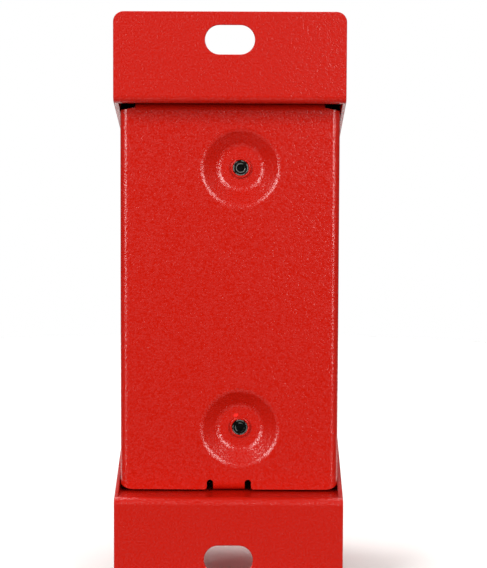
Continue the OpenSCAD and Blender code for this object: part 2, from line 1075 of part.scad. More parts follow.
module rear_cover() {
    color("#cd2116") {
        difference() {
            mirror([0, 1, 0])
                difference() {
                    coverChannel(coverHalf, -coverRear, outerRadius);
                    coverChannel(coverHalf - sheet, -coverInner, foldRadius);
                }
            coverTrims();
        }
        alongX(-returnHalf, returnHalf)
            coverReturn(coverTop);
        mirror([0, 0, 1])
            alongX(-tabWidth / 2, tabWidth / 2)
                coverReturn(-tabBottom);
        for (end = [-1, 1])
            translate([screwOffset, coverRear, end * screwHeight])
                rotate([-90, 0, 0])
                    rotate_extrude()
                        dishSection();
    }
}

// The cover's folded outline, solid, with the panel at the given distance from the wall plane
module coverChannel(half, front, radius) {
    alongZ(coverBottom, reliefTop)
        rotate(90)
            mirror([0, 1])
                channel(half, front, -coverFront + (half < coverHalf ? past : 0), radius);
}

// A fold from the panel into a plate that runs forward at the given height
module coverReturn(height) {
    translate([coverRear - outerRadius, height - outerRadius])
        foldQuarter(outerRadius);
    translate([returnFront, height - sheet])
        square([coverRear - outerRadius - returnFront, sheet]);
}

// Everything cut from the cover's panel and edges
module coverTrims() {
    slitTop = coverBottom + slitDepth;
    slitEdge = tabWidth / 2 + slitWidth;
    alongY(coverFront - past, coverRear + past)
        for (side = [-1, 1])
            scale([side, 1]) {
                polygon([
                    [returnHalf, reliefTop],
                    [coverHalf + past, reliefTop - reliefSlope],
                    [coverHalf + past, reliefTop + past],
                    [returnHalf, reliefTop + past]
                ]);
                translate([cornerStart, coverBottom - past])
                    difference() {
                        square([coverHalf, cornerRadius + past]);
                        translate([0, cornerRadius + past])
                            circle(cornerRadius);
                    }
                translate([tabWidth / 2, coverBottom - past])
                    square([slitWidth, slitDepth + past - slitWidth / 2]);
                translate([tabWidth / 2 + slitWidth / 2, slitTop - slitWidth / 2])
                    circle(slitWidth / 2);
                translate([slitEdge, coverBottom - past])
                    difference() {
                        square([slitFlare, slitFlare + past]);
                        translate([slitFlare, slitFlare + past])
                            circle(slitFlare);
                    }
            }
    alongY(coverInner - past, coverRear + past) {
        translate([-returnHalf, coverTop - outerRadius])
            square([2 * returnHalf, 2 * outerRadius]);
        translate([-tabWidth / 2, coverBottom - past])
            square([tabWidth, tabBottom + outerRadius - coverBottom + past]);
    }
    for (end = [-1, 1])
        rodY(screwOffset, end * screwHeight, coverInner - past, coverRear + past, dishRim + past);
}

module screw_ferrules() {
    seat = coverRear - dishDepth;
    color("#c4281c")
        for (end = [-1, 1])
            difference() {
                union() {
                    rodY(screwOffset, end * screwHeight, seat, collarTop, collarRadius);
                    rodY(screwOffset, end * screwHeight, ferruleFoot, seat + looseGap,
                        dishHole - looseGap + runGap);
                }
                rodY(screwOffset, end * screwHeight, headSeat, collarTop + past,
                    headRadius + runGap);
                rodY(screwOffset, end * screwHeight, ferruleFoot - past, headSeat + past,
                    waistRadius + looseGap / 2);
            }
}

// A captive socket screw: full thread only beyond a narrow waist
module coverScrew(end) {
    translate([screwOffset, 0, end * screwHeight])
        difference() {
            union() {
                rodY(0, 0, headSeat, headTop, headRadius);
                rodY(0, 0, threadTop - past, headSeat + past, waistRadius);
                rodY(0, 0, screwTip, threadTop, threadRadius);
            }
            alongY(headTop - socketDepth, headTop + past)
                hexagon(socketFlats);
        }
}

module cover_screw_top() {
    color("#17181a")
        coverScrew(1);
}

module cover_screw_bottom() {
    color("#17181a")
        coverScrew(-1);
}

module door() {
    halfX = doorWidth / 2;
    halfZ = doorHeight / 2;
    color("#cd2116") {
        difference() {
            union() {
                translate([doorX, 0, doorZ])
                    difference() {
                        tray(halfX, halfZ, doorFront, doorBack, outerRadius);
                        tray(halfX - sheet, halfZ - sheet, doorInner, doorBack + past, foldRadius);
                    }
                for (height = hingeHeights)
                    doorKnuckle(height);
            }
            translate([doorX, 0, windowZ])
                alongY(doorFront - past, doorInner + past)
                    roundedRect(windowWidth, windowHeight, windowRadius);
            rodY(latchX, latchZ, doorFront - past, doorInner + past, latchRadius + looseGap);
            for (height = hingeHeights)
                rodZ(hingeX, hingeY, height - knuckleLength, height + knuckleLength,
                    pinRadius + runGap);
        }
        for (side = [-1, 1], end = [-1, 1])
            rodY(doorX + side * studX, windowZ + end * studZ, doorInner - sheet / 2, studEnd,
                studRadius);
    }
}

// One hinge knuckle with the web that joins it to the door's side
module doorKnuckle(height) {
    rodZ(hingeX, hingeY, height - knuckleLength / 2, height + knuckleLength / 2, knuckleRadius);
    translate([hingeX, hingeY - knuckleRadius, height - knuckleLength / 2])
        cube([doorLeft - hingeX + sheet / 2, knuckleRadius, knuckleLength]);
}

module glass_gasket() {
    color("#202022")
        windowFrame(doorInner, gasketBack, glassLap, 0);
}

// A flat frame round the window, wider by one lap and narrower by another
module windowFrame(from, to, outward, inward) {
    translate([doorX, 0, windowZ])
        alongY(from, to)
            difference() {
                square([windowWidth + 2 * outward, windowHeight + 2 * outward], center = true);
                roundedRect(windowWidth - 2 * inward, windowHeight - 2 * inward, windowRadius);
            }
}

module door_glass() {
    color("#dfe8ea")
        translate([doorX, 0, windowZ])
            alongY(gasketBack, glassBack)
                square([windowWidth + 2 * glassLap, windowHeight + 2 * glassLap], center = true);
}

module glass_retainer() {
    color("#8f9398")
        difference() {
            translate([doorX, 0, windowZ])
                alongY(glassBack, retainerBack)
                    difference() {
                        square(2 * [studX + retainerEdge, studZ + retainerEdge], center = true);
                        roundedRect(windowWidth - 2 * retainerLap, windowHeight - 2 * retainerLap,
                            windowRadius);
                    }
            for (side = [-1, 1], end = [-1, 1])
                rodY(doorX + side * studX, windowZ + end * studZ, glassBack - past,
                    retainerBack + past, studRadius + looseGap);
        }
}

module retainer_nuts() {
    color("#b9bcc0")
        for (side = [-1, 1], end = [-1, 1])
            translate([doorX + side * studX, 0, windowZ + end * studZ])
                difference() {
                    alongY(retainerBack, retainerBack + studNutThick)
                        hexagon(studNutFlats);
                    rodY(0, 0, retainerBack - past, studEnd + past, studRadius + looseGap);
                }
}

module latch_body() {
    color("#c4c7cb")
        difference() {
            union() {
                rodY(latchX, latchZ, doorFront - latchFlangeThick, doorFront, latchFlange);
                rodY(latchX, latchZ, doorFront - latchFlangeThick, latchEnd, latchRadius);
            }
            rodY(latchX, latchZ, doorFront - latchFlangeThick, latchEnd + past, spindleRadius + runGap);
            rodY(latchX, latchZ, doorFront - latchFlangeThick - past,
                doorFront - latchFlangeThick + spindleStep, spindleHead + runGap);
        }
}

module latch_nut() {
    color("#b9bcc0")
        translate([latchX, 0, latchZ])
            difference() {
                alongY(doorInner, doorInner + latchNutThick)
                    hexagon(latchNutFlats);
                rodY(0, 0, doorInner - past, doorInner + latchNutThick + past,
                    latchRadius + looseGap);
            }
}

module latch_handle() {
    front = doorFront - latchFlangeThick;
    color("#1c1d1f")
        translate([latchX, 0, latchZ])
            difference() {
                union() {
                    rodY(0, 0, front + looseGap, front + spindleStep - 2 * runGap, spindleHead);
                    rodY(0, 0, front - handleGap, front + past, spindleNeck);
                    rodY(0, 0, front + past, latchEnd + 2 * runGap, spindleRadius);
                    alongY(latchEnd, camFront + camThick)
                        square(tailSize - 2 * tailGap, center = true);
                    alongY(front - handleRise, front + looseGap - handleGap)
                        roundedRect(handleThick, 2 * handleHalf, handleThick / 2 - tailGap);
                }
                rodY(0, 0, camFront - camBoreDepth, camFront + camThick + past, camBore);
            }
}

module latch_cam() {
    color("#b9bcc0")
        translate([latchX, 0, latchZ])
            alongY(camFront, camFront + camThick)
                difference() {
                    union() {
                        circle(camBoss);
                        translate([-camHalf, -camReach])
                            square([2 * camHalf, camReach]);
                    }
                    square(tailSize, center = true);
                }
}

module cam_screw() {
    seat = camFront + camThick;
    color("#b9bcc0")
        slottedScrew(latchX, latchZ, seat, camScrewDepth, camScrewRadius, camScrewHead, camScrewRise);
}

module push_button() {
    color("#e9e6df")
        translate([buttonX, 0, buttonZ])
            difference() {
                union() {
                    rodY(0, 0, buttonFront, collarFront + past, buttonRadius);
                    rodY(0, 0, collarFront, collarBack, buttonCollar);
                    rodY(0, 0, collarFront, stemEnd, stemRadius);
                }
                translate([0, buttonFront + fingerDepth - fingerRadius, 0])
                    sphere(fingerRadius);
            }
}

module contact_bridge() {
    color("#c9a24a")
        translate([buttonX - contactX - contactHalf, stemEnd, buttonZ - contactHalf])
            cube([2 * (contactX + contactHalf), bridgeThick, 2 * contactHalf]);
}

housing();
cover_posts();
hinge_lugs();
hinge_pins();
door_seal();
latch_keeper();
button_bezel();
bezel_gasket();
bezel_nut();
button_spring();
switch_block();
switch_contacts();
switch_screws();
circuit_board();
board_standoffs();
board_screws();
relay();
capacitors();
terminal_block();
terminal_screws();
lamp_bezel();
lamp_gasket();
lamp_nut();
lamp_lens();
lamp_led();
tamper_bracket();
tamper_switch();
tamper_terminals();
tamper_screws();
tamper_plunger();
gland_washer();
gland_body();
gland_locknut();
gland_seal();
gland_nut();
earth_stud();
earth_washer();
earth_nuts();
rear_cover();
screw_ferrules();
cover_screw_top();
cover_screw_bottom();
door();
glass_gasket();
door_glass();
glass_retainer();
retainer_nuts();
latch_body();
latch_nut();
latch_handle();
latch_cam();
cam_screw();
push_button();
contact_bridge();
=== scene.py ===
import json
import math
import bmesh
import bpy
from mathutils import Matrix, Vector


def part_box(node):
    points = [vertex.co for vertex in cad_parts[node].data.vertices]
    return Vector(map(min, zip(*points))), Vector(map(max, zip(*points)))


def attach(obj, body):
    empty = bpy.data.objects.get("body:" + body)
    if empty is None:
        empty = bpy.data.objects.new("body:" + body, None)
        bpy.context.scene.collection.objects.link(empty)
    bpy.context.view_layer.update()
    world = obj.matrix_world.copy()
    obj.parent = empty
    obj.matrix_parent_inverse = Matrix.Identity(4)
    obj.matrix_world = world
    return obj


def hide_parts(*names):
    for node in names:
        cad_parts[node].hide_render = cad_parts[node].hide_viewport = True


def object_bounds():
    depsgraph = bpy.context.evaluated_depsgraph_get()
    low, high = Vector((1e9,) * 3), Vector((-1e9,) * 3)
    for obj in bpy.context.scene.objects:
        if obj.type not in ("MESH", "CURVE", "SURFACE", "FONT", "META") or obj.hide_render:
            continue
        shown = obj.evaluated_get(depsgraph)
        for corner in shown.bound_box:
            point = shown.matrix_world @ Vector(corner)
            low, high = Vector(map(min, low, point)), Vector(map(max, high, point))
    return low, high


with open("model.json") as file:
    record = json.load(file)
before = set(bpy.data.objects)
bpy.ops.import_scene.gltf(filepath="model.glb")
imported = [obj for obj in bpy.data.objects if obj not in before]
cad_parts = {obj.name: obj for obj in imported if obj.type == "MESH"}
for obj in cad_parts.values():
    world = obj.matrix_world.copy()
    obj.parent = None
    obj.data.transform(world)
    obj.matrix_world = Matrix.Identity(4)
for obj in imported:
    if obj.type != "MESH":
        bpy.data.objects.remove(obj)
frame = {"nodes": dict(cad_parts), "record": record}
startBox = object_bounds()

print("frame loaded")
mm = 0.001
record = frame["record"]
slotOf = {part["node"]: part["material_slot"] for part in record["subparts"]}
bodyOf = {
    node: body for body, members in record["behaviour"]["bodies"].items() for node in members
}


def linear(code):
    # An sRGB hex colour as linear RGBA
    values = [int(code[i : i + 2], 16) / 255 for i in (1, 3, 5)]
    return [v / 12.92 if v <= 0.04045 else ((v + 0.055) / 1.055) ** 2.4 for v in values] + [1]


def addNode(tree, kind, inputs=None, **settings):
    # One node with its settings. An input that is given a socket, or a list of them, is linked.
    node = tree.nodes.new(kind)
    for name, value in settings.items():
        setattr(node, name, value)
    for name, value in (inputs or {}).items():
        sources = value if isinstance(value, list) else [value]
        if isinstance(sources[0], bpy.types.NodeSocket):
            for source in sources:
                tree.links.new(source, node.inputs[name])
        else:
            node.inputs[name].default_value = value
    return node


def newMaterial(name, sockets):
    material = bpy.data.materials.new(name)
    material.use_nodes = True
    tree = material.node_tree
    tree.nodes.clear()
    shader = addNode(tree, "ShaderNodeBsdfPrincipled", sockets)
    addNode(tree, "ShaderNodeOutputMaterial", {"Surface": shader.outputs["BSDF"]})
    where = addNode(tree, "ShaderNodeTexCoord").outputs["Object"]
    return material, tree, shader, where


noiseLook = {
    "patchDetail": 4.0,
    "patchRoughness": 0.55,
    "patchRange": (0.3, 0.7),
    "grainDetail": 2.0,
    "grainRoughness": 0.5,
}


def surface(name, look):
    # A finish with patches of tone and sheen and a raised grain, all at real sizes in millimetres
    material, tree, shader, where = newMaterial(name, look.get("sockets", {}))
    stretched = addNode(
        tree, "ShaderNodeMapping", {"Vector": where, "Scale": look.get("stretch", (1, 1, 1))}
    ).outputs["Vector"]
    patches = addNode(
        tree,
        "ShaderNodeTexNoise",
        {
            "Vector": stretched,
            "Scale": 1 / (look["patchSize"] * mm),
            "Detail": noiseLook["patchDetail"],
            "Roughness": noiseLook["patchRoughness"],
        },
    ).outputs["Fac"]
    tone = addNode(
        tree,
        "ShaderNodeMix",
        {"Factor": patches, "A": linear(look["deep"]), "B": linear(look["colour"])},
        data_type="RGBA",
    )
    tree.links.new(tone.outputs["Result"], shader.inputs["Base Color"])
    sheen = addNode(
        tree,
        "ShaderNodeMapRange",
        {
            "Value": patches,
            "From Min": noiseLook["patchRange"][0],
            "From Max": noiseLook["patchRange"][1],
            "To Min": look["roughness"][0],
            "To Max": look["roughness"][1],
        },
    )
    tree.links.new(sheen.outputs["Result"], shader.inputs["Roughness"])
    grain = addNode(
        tree,
        "ShaderNodeTexNoise",
        {
            "Vector": stretched,
            "Scale": 1 / (look["grainSize"] * mm),
            "Detail": noiseLook["grainDetail"],
            "Roughness": noiseLook["grainRoughness"],
        },
    )
    bump = addNode(
        tree,
        "ShaderNodeBump",
        {
            "Height": grain.outputs["Fac"],
            "Strength": 1.0,
            "Distance": look["grainHeight"] * mm,
        },
    )
    tree.links.new(bump.outputs["Normal"], shader.inputs["Normal"])
    return material


powderLook = {
    "colour": "#c21606",
    "deep": "#ae1205",
    "roughness": 0.24,
    "gloss": (0.05, 0.85),
    "glossRange": (0.35, 0.65),
    "peelSize": 1.7,
    "peelHeight": 0.1,
    "peelDetail": 1.0,
    "peelRoughness": 0.4,
    "grainSize": 0.62,
    "grainHeight": 0.11,
    "runColour": "#ee2a24",
    "runSize": 0.95,
    "runStretch": (1, 1, 1.6),
}


def powderCoat(name, look, runs=()):
    # Thick satin powder coat on steel: a soft orange peel, and a fine grain of glossy and dull
    # specks that breaks every highlight up. The grain is drawn at about its real size.
    material, tree, shader, where = newMaterial(name, {"Roughness": look["roughness"]})
    peel = addNode(
        tree,
        "ShaderNodeTexNoise",
        {
            "Vector": where,
            "Scale": 1 / (look["peelSize"] * mm),
            "Detail": look["peelDetail"],
            "Roughness": look["peelRoughness"],
        },
    ).outputs["Fac"]
    grain = addNode(
        tree,
        "ShaderNodeTexNoise",
        {
            "Vector": where,
            "Scale": 1 / (look["grainSize"] * mm),
            "Detail": noiseLook["grainDetail"],
            "Roughness": noiseLook["grainRoughness"],
        },
    ).outputs["Fac"]
    specks = addNode(
        tree,
        "ShaderNodeMapRange",
        {
            "Value": grain,
            "From Min": look["glossRange"][0],
            "From Max": look["glossRange"][1],
            "To Min": look["gloss"][0],
            "To Max": look["gloss"][1],
        },
    )
    tree.links.new(specks.outputs["Result"], shader.inputs["Specular IOR Level"])
    colour = addNode(
        tree,
        "ShaderNodeMix",
        {"Factor": grain, "A": linear(look["deep"]), "B": linear(look["colour"])},
        data_type="RGBA",
    ).outputs["Result"]
    for run in runs:
        # A spot where the coat has pooled, brighter and ragged at its edge
        centred = addNode(
            tree,
            "ShaderNodeMapping",
            {
                "Vector": where,
                "Location": [-c * k for c, k in zip(run, look["runStretch"])],
                "Scale": look["runStretch"],
            },
        ).outputs["Vector"]
        away = addNode(tree, "ShaderNodeVectorMath", {0: centred}, operation="LENGTH")
        ragged = addNode(
            tree, "ShaderNodeMath", {0: away.outputs["Value"], 1: grain}, operation="MULTIPLY"
        )
        mask = addNode(
            tree,
            "ShaderNodeMath",
            {0: ragged.outputs["Value"], 1: look["runSize"] * mm / 2},
            operation="LESS_THAN",
        )
        colour = addNode(
            tree,
            "ShaderNodeMix",
            {"Factor": mask.outputs["Value"], "A": colour, "B": linear(look["runColour"])},
            data_type="RGBA",
        ).outputs["Result"]
    tree.links.new(colour, shader.inputs["Base Color"])
    coarse = addNode(
        tree,
        "ShaderNodeBump",
        {"Height": peel, "Strength": 1.0, "Distance": look["peelHeight"] * mm},
    )
    fine = addNode(
        tree,
        "ShaderNodeBump",
        {
            "Height": grain,
            "Normal": coarse.outputs["Normal"],
            "Strength": 1.0,
            "Distance": look["grainHeight"] * mm,
        },
    )
    tree.links.new(fine.outputs["Normal"], shader.inputs["Normal"])
    return material


# The spacing of the wave texture's rings at scale 1, in metres
ringsAtOne = 0.32

turnedLook = {
    "colour": "#3b3c3a",
    "deep": "#1b1c1c",
    # Bright steel colour for the rings round the head and the socket: painted glints, partly
    # rubbed wear
    "rubbedAndGlint": "#c9cbc4",
    "rubbedAndGlintRings": ((2.78, 0.2), (1.72, 0.16)),
    "rubbedAndGlintShare": 0.47,
    "roughness": 0.24,
    "ringSpacing": 0.35,
    "ringHeight": 0.006,
    "ringWobble": 0.6,
    "ringDetail": 1.0,
    "blotchSize": 1.8,
    "blotchDetail": 4.0,
}


def turnedBlack(name, look, centre):
    # Black oxide on a turned screw: near-black with faint tool rings, and bright steel colour in
    # broken rings round the head and the socket that is partly rubbed wear and partly a painted
    # glint on those edges. The tool rings are drawn coarser.
    material, tree, shader, where = newMaterial(
        name, {"Metallic": 1.0, "Roughness": look["roughness"]}
    )
    centred = addNode(
        tree, "ShaderNodeMapping", {"Vector": where, "Location": [-c for c in centre]}
    ).outputs["Vector"]
    rings = addNode(
        tree,
        "ShaderNodeTexWave",
        {
            "Vector": centred,
            "Scale": ringsAtOne / (look["ringSpacing"] * mm),
            "Distortion": look["ringWobble"],
            "Detail": look["ringDetail"],
        },
        wave_type="RINGS",
        rings_direction="Y",
    )
    blotches = addNode(
        tree,
        "ShaderNodeTexNoise",
        {
            "Vector": where,
            "Scale": 1 / (look["blotchSize"] * mm),
            "Detail": look["blotchDetail"],
        },
    ).outputs["Fac"]
    colour = addNode(
        tree,
        "ShaderNodeMix",
        {"Factor": blotches, "A": linear(look["deep"]), "B": linear(look["colour"])},
        data_type="RGBA",
    ).outputs["Result"]
    flat = addNode(tree, "ShaderNodeVectorMath", {0: centred, 1: (1, 0, 1)}, operation="MULTIPLY")
    away = addNode(tree, "ShaderNodeVectorMath", {0: flat.outputs["Vector"]}, operation="LENGTH")
    wornAndGlinting = addNode(
        tree, "ShaderNodeMath", {0: blotches, 1: look["rubbedAndGlintShare"]}, operation="GREATER_THAN"
    )
    # Broken bright rings at the head's rim and the socket's edge: painted glints, partly
    # rubbed-through wear
    for radius, width in look["rubbedAndGlintRings"]:
        near = addNode(
            tree,
            "ShaderNodeMath",
            {0: away.outputs["Value"], 1: radius * mm, 2: width * mm},
            operation="COMPARE",
        )
        baredAndGlinting = addNode(
            tree,
            "ShaderNodeMath",
            {0: near.outputs["Value"], 1: wornAndGlinting.outputs["Value"]},
            operation="MULTIPLY",
        )
        colour = addNode(
            tree,
            "ShaderNodeMix",
            {"Factor": baredAndGlinting.outputs["Value"], "A": colour, "B": linear(look["rubbedAndGlint"])},
            data_type="RGBA",
        ).outputs["Result"]
    tree.links.new(colour, shader.inputs["Base Color"])
    bump = addNode(
        tree,
        "ShaderNodeBump",
        {"Height": rings.outputs["Fac"], "Strength": 1.0, "Distance": look["ringHeight"] * mm},
    )
    tree.links.new(bump.outputs["Normal"], shader.inputs["Normal"])
    return material


boardLook = {
    "roughness": 0.28,
    "mask": "#0f4f28",
    "track": "#2a7d45",
    "trackPitch": 2.54,
    "trackRun": 5,
    "trackWidth": 0.62,
    "trackBlur": 0.3,
    "trackHeight": 0.035,
}


def solderMask(name, look):
    # Green solder mask over copper: glossy, with lighter raised lines where the tracks run
    material, tree, shader, where = newMaterial(name, {"Roughness": look["roughness"]})
    turned = addNode(
        tree, "ShaderNodeMapping", {"Vector": where, "Rotation": (math.radians(90), 0, 0)}
    )
    tracks = addNode(
        tree,
        "ShaderNodeTexBrick",
        {
            "Vector": turned.outputs["Vector"],
            "Scale": 1.0,
            "Brick Width": look["trackRun"] * look["trackPitch"] * mm,
            "Row Height": look["trackPitch"] * mm,
            "Mortar Size": look["trackWidth"] * mm / 2,
            "Mortar Smooth": look["trackBlur"],
            "Color1": linear(look["mask"]),
            "Color2": linear(look["mask"]),
            "Mortar": linear(look["track"]),
        },
    )
    tree.links.new(tracks.outputs["Color"], shader.inputs["Base Color"])
    bump = addNode(
        tree,
        "ShaderNodeBump",
        {"Height": tracks.outputs["Fac"], "Strength": 1.0, "Distance": look["trackHeight"] * mm},
    )
    tree.links.new(bump.outputs["Normal"], shader.inputs["Normal"])
    return material


lensLook = {
    "sockets": {
        "Base Color": linear("#e3170f"),
        "Roughness": 0.06,
        "Transmission Weight": 0.8,
        "IOR": 1.58,
    },
    "ribPitch": 1.1,
    "ribHeight": 0.12,
}


def lampLens(name, look, centre):
    # Red polycarbonate lens with moulded rings that spread the lamp's light: a deep, wet red
    material, tree, shader, where = newMaterial(name, look["sockets"])
    centred = addNode(
        tree, "ShaderNodeMapping", {"Vector": where, "Location": [-c for c in centre]}
    )
    rings = addNode(
        tree,
        "ShaderNodeTexWave",
        {"Vector": centred.outputs["Vector"], "Scale": ringsAtOne / (look["ribPitch"] * mm)},
        wave_type="RINGS",
        rings_direction="Y",
    )
    bump = addNode(
        tree,
        "ShaderNodeBump",
        {"Height": rings.outputs["Fac"], "Strength": 1.0, "Distance": look["ribHeight"] * mm},
    )
    tree.links.new(bump.outputs["Normal"], shader.inputs["Normal"])
    return material


def middleOf(node):
    low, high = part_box(node)
    return [(low[i] + high[i]) / 2 for i in range(3)]


metal = {"Metallic": 1.0}
finishes = {
    # Bright zinc plate: pale grey with a faint straw tint that drifts across the passivated skin
    "zinc_plate": surface("bright zinc plate", {
        "colour": "#c3c6c9", "deep": "#a9a795", "roughness": (0.2, 0.36), "patchSize": 4,
        "grainSize": 0.5, "grainHeight": 0.004, "sockets": metal,
    }),
    # Stainless sheet, brushed along its length: fine streaks that draw highlights out sideways
    "stainless": surface("brushed stainless steel", {
        "colour": "#b3b4b5", "deep": "#96979a", "roughness": (0.24, 0.4), "patchSize": 3,
        "stretch": (1, 1, 0.06), "grainSize": 0.25, "grainHeight": 0.006, "sockets": metal,
    }),
    # Satin nickel plate: warm grey, soft and even
    "nickel_plate": surface("satin nickel plate", {
        "colour": "#c9c5bd", "deep": "#b2ada3", "roughness": (0.16, 0.26), "patchSize": 6,
        "grainSize": 0.4, "grainHeight": 0.003, "sockets": metal,
    }),
    # Drawn brass: yellow with dull brown tarnish in patches
    "brass": surface("drawn brass", {
        "colour": "#cfa250", "deep": "#a67c38", "roughness": (0.22, 0.42), "patchSize": 3,
        "grainSize": 0.4, "grainHeight": 0.004, "sockets": metal,
    }),
    # Spring wire, drawn and oiled: dark bright steel
    "spring_steel": surface("drawn spring wire", {
        "colour": "#8f9398", "deep": "#6d7176", "roughness": (0.18, 0.3), "patchSize": 2,
        "grainSize": 0.3, "grainHeight": 0.003, "sockets": metal,
    }),
    # Moulded rubber: matt charcoal with a dusty bloom
    "black_rubber": surface("black moulded rubber", {
        "colour": "#2a2a2b", "deep": "#151516", "roughness": (0.62, 0.85), "patchSize": 5,
        "grainSize": 0.3, "grainHeight": 0.03,
    }),
    # Spark-textured nylon: an even black with a fine matt grain
    "black_plastic": surface("black textured nylon", {
        "colour": "#2b2c2f", "deep": "#1d1e20", "roughness": (0.42, 0.56), "patchSize": 7,
        "grainSize": 0.4, "grainHeight": 0.03,
    }),
    # Polished ABS: ivory white and glossy, with slight moulding ripple
    "button_plastic": surface("ivory polished ABS", {
        "colour": "#ece8de", "deep": "#e2ddd1", "roughness": (0.16, 0.24), "patchSize": 9,
        "grainSize": 3.0, "grainHeight": 0.02, "sockets": {"Coat Weight": 0.15},
    }),
    # Polyamide terminal block: flat leaf green with a soft matt skin
    "green_plastic": surface("green moulded polyamide", {
        "colour": "#479a57", "deep": "#3a8749", "roughness": (0.38, 0.5), "patchSize": 4,
        "grainSize": 0.35, "grainHeight": 0.012,
    }),
    # Relay case in PBT: dark blue, half gloss
    "blue_plastic": surface("blue moulded PBT", {
        "colour": "#21498a", "deep": "#1b3d76", "roughness": (0.28, 0.4), "patchSize": 6,
        "grainSize": 0.4, "grainHeight": 0.008,
    }),
    # Shrink sleeve: blue-black film, glossy where it is pulled tight
    "capacitor_sleeve": surface("dark PVC shrink sleeve", {
        "colour": "#272d38", "deep": "#1b2029", "roughness": (0.2, 0.36), "patchSize": 3,
        "stretch": (1, 0.3, 1), "grainSize": 1.2, "grainHeight": 0.02,
    }),
    # Float glass: clear with a breath of green and the faintest ripple
    "clear_glass": surface("clear float glass", {
        "colour": "#f7fdfa", "deep": "#eef8f3", "roughness": (0.0, 0.03), "patchSize": 30,
        "grainSize": 25, "grainHeight": 0.01,
        "sockets": {"Transmission Weight": 1.0, "IOR": 1.52},
    }),
    # Cast epoxy: milky and slightly warm
    "led_epoxy": surface("milky cast epoxy", {
        "colour": "#f1ede2", "deep": "#e3ddcf", "roughness": (0.1, 0.2), "patchSize": 2,
        "grainSize": 1.5, "grainHeight": 0.01, "sockets": {"Subsurface Weight": 0.3},
    }),
    "green_board": solderMask("green solder mask", boardLook),
    "lamp_red": lampLens("red polycarbonate lens", lensLook, middleOf("lamp_lens")),
    "red_powder_coat": powderCoat("red satin powder coat", powderLook),
}
# Where the run of paint lies: from the lower screw's axis, and in from the cover's rear face
runPlace = {"aside": 1.6, "above": 4.7, "deep": 4.5}
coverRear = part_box("rear_cover")[1][1]
screwPlace = middleOf("cover_screw_bottom")
finishes["red_cover_coat"] = powderCoat(
    "red satin powder coat with a run",
    powderLook,
    [(
        screwPlace[0] + runPlace["aside"] * mm,
        coverRear - runPlace["deep"] * mm,
        screwPlace[2] + runPlace["above"] * mm,
    )],
)
finishes["red_door_coat"] = finishes["red_powder_coat"]
finishes["red_fittings"] = finishes["red_powder_coat"]
screwFinish = {
    node: turnedBlack("black oxide on " + node.replace("_", " "), turnedLook, middleOf(node))
    for node in ("cover_screw_top", "cover_screw_bottom")
}
print("materials made")


# How near two corners are to count as one, in millimetres, and angles in degrees
meshLook = {"merge": 0.002, "flat": 0.4, "sharp": 40, "grownSharp": 35, "bevelSteps": 2}


def newPiece(name, data):
    piece = bpy.data.objects.new(name, data)
    bpy.context.scene.collection.objects.link(piece)
    return piece


def mergedMesh(node):
    mesh = bmesh.new()
    mesh.from_mesh(frame["nodes"][node].data)
    bmesh.ops.remove_doubles(mesh, verts=mesh.verts, dist=meshLook["merge"] * mm)
    return mesh


def mergedCopy(node):
    # The CAD node again, with its doubles merged and its flat faces whole
    mesh = mergedMesh(node)
    bmesh.ops.recalc_face_normals(mesh, faces=mesh.faces)
    bmesh.ops.dissolve_limit(
        mesh, angle_limit=math.radians(meshLook["flat"]), verts=mesh.verts, edges=mesh.edges
    )
    data = bpy.data.meshes.new(node + "_look")
    mesh.to_mesh(data)
    mesh.free()
    return newPiece(node + "_look", data)


def settle(piece):
    # Turns a piece's modifiers into plain geometry
    graph = bpy.context.evaluated_depsgraph_get()
    data = bpy.data.meshes.new_from_object(piece.evaluated_get(graph))
    piece.modifiers.clear()
    piece.data = data
    return piece


def shadeByAngle(data, angle):
    for face in data.polygons:
        face.use_smooth = True
    data.set_sharp_from_angle(angle=math.radians(angle))


def materialOf(node):
    return screwFinish.get(node) or finishes[slotOf[node]]


def finishPiece(piece, node, replaces=True):
    piece.data.materials.clear()
    piece.data.materials.append(materialOf(node))
    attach(piece, bodyOf[node])
    if replaces:
        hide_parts(node)
    return piece


def softened(node, edge, reshape=None):
    # The CAD node with its sharp edges rounded, so that each one catches a thin highlight
    piece = mergedCopy(node)
    if reshape:
        reshape(piece.data)
    shadeByAngle(piece.data, meshLook["sharp"])
    bevel = piece.modifiers.new("edge", "BEVEL")
    bevel.width = edge * mm
    bevel.segments = meshLook["bevelSteps"]
    bevel.limit_method = "ANGLE"
    bevel.angle_limit = math.radians(meshLook["sharp"])
    evened = piece.modifiers.new("evened", "WEIGHTED_NORMAL")
    evened.keep_sharp = True
    return finishPiece(settle(piece), node)


# Edge rounding in millimetres: generous on coated sheet, tight on small metal parts
edgeRounding = {
    "housing": 0.3, "rear_cover": 0.3, "door": 0.35, "screw_ferrules": 0.35,
    "hinge_lugs": 0.3, "hinge_pins": 0.3, "cover_posts": 0.3, "latch_keeper": 0.2,
    "latch_body": 0.4, "latch_handle": 0.6, "latch_cam": 0.2,
    "button_bezel": 0.4, "push_button": 0.35, "switch_block": 0.4, "switch_contacts": 0.12,
    "contact_bridge": 0.12, "bezel_gasket": 0.2, "lamp_bezel": 0.4, "lamp_gasket": 0.2,
    "lamp_led": 0.1, "circuit_board": 0.1, "board_standoffs": 0.2, "relay": 0.5,
    "capacitors": 0.6, "terminal_block": 0.2, "tamper_bracket": 0.2, "tamper_switch": 0.3,
    "tamper_terminals": 0.06, "tamper_plunger": 0.3, "gland_washer": 0.3, "gland_body": 0.4,
    "gland_nut": 0.5, "gland_seal": 0.4, "earth_washer": 0.15, "door_seal": 0.25,
    "glass_gasket": 0.2, "glass_retainer": 0.2, "door_glass": 0.25,
}
for node, edge in edgeRounding.items():
    softened(node, edge)
print("pieces softened")


